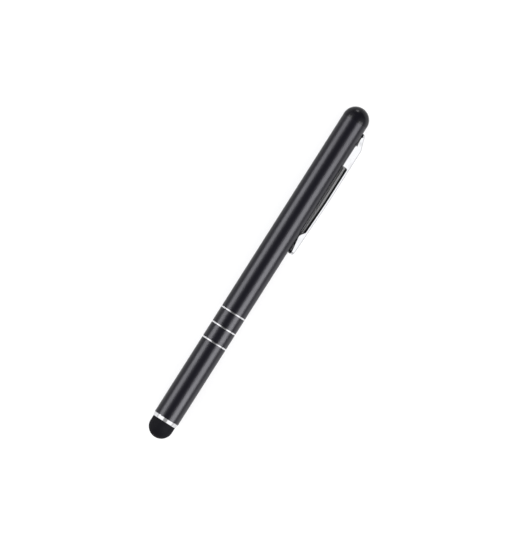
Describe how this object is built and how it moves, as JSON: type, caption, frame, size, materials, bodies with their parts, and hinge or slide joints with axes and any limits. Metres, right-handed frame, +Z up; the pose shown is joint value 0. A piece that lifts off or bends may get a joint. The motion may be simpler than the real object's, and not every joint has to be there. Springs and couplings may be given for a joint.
{
  "type": "stylus pen",
  "caption": "Slim round touch-screen stylus pen with a soft domed tip on a screw-in holder, bright trim rings, a gloss domed end cap and a sprung metal pocket clip.",
  "frame": {"origin": "on the table, under the middle of the pen's box", "axes": "+X along the pen from the soft tip to the domed cap, +Z up off the table, the clip towards -Y and tipped down until its edge meets the table"},
  "size_m": [0.1282, 0.0116, 0.009],
  "materials": {
    "barrel_black": "black anodised, satin",
    "trim_bright": "bright turned",
    "cap_gloss": "polished black",
    "clip_chrome": "chromed spring steel",
    "insert_brass": "turned",
    "holder_chrome": "bright nickel and chrome plate over brass",
    "core_brass": "turned",
    "tip_rubber": "matte conductive silicone"
  },
  "bodies": {
    "pen_body": {"barrel_tube": "barrel_black", "thread_insert": "insert_brass", "trim_ring_front": "trim_bright", "trim_ring_middle": "trim_bright", "trim_ring_rear": "trim_bright", "end_cap": "cap_gloss"},
    "clip": {"pocket_clip": "clip_chrome"},
    "tip_pin": {"tip_core": "core_brass"},
    "tip_screw": {"tip_holder": "holder_chrome"},
    "soft_tip": {"silicone_tip": "tip_rubber"}
  },
  "joints": [
    {"name": "clip_flex", "type": "hinge", "parent": "pen_body", "child": "clip", "pos_m": [0.0561, -0.00244, 0.00291], "axis": [0, -0.3874, 0.9219], "range_deg": [0, 4], "stiffness_Nm_per_rad": 3.6, "springref_deg": -1.15},
    {"name": "tip_unscrew", "type": "slide", "parent": "pen_body", "child": "tip_pin", "axis": [-1, 0, 0], "range_m": [0, 0.00675]},
    {"name": "tip_turn", "type": "hinge", "parent": "tip_pin", "child": "tip_screw", "pos_m": [-0.0568, 0.00134, 0.0045], "axis": [-1, 0, 0], "range_deg": [0, 3241]},
    {"name": "tip_press", "type": "slide", "parent": "tip_screw", "child": "soft_tip", "axis": [1, 0, 0], "range_m": [0, 0.0008], "stiffness_N_per_m": 2000, "deforming": ["silicone_tip"]}
  ],
  "couplings": [
    {"joint": "tip_turn", "follows": "tip_unscrew", "rad_per_m": 8377.6}
  ]
}
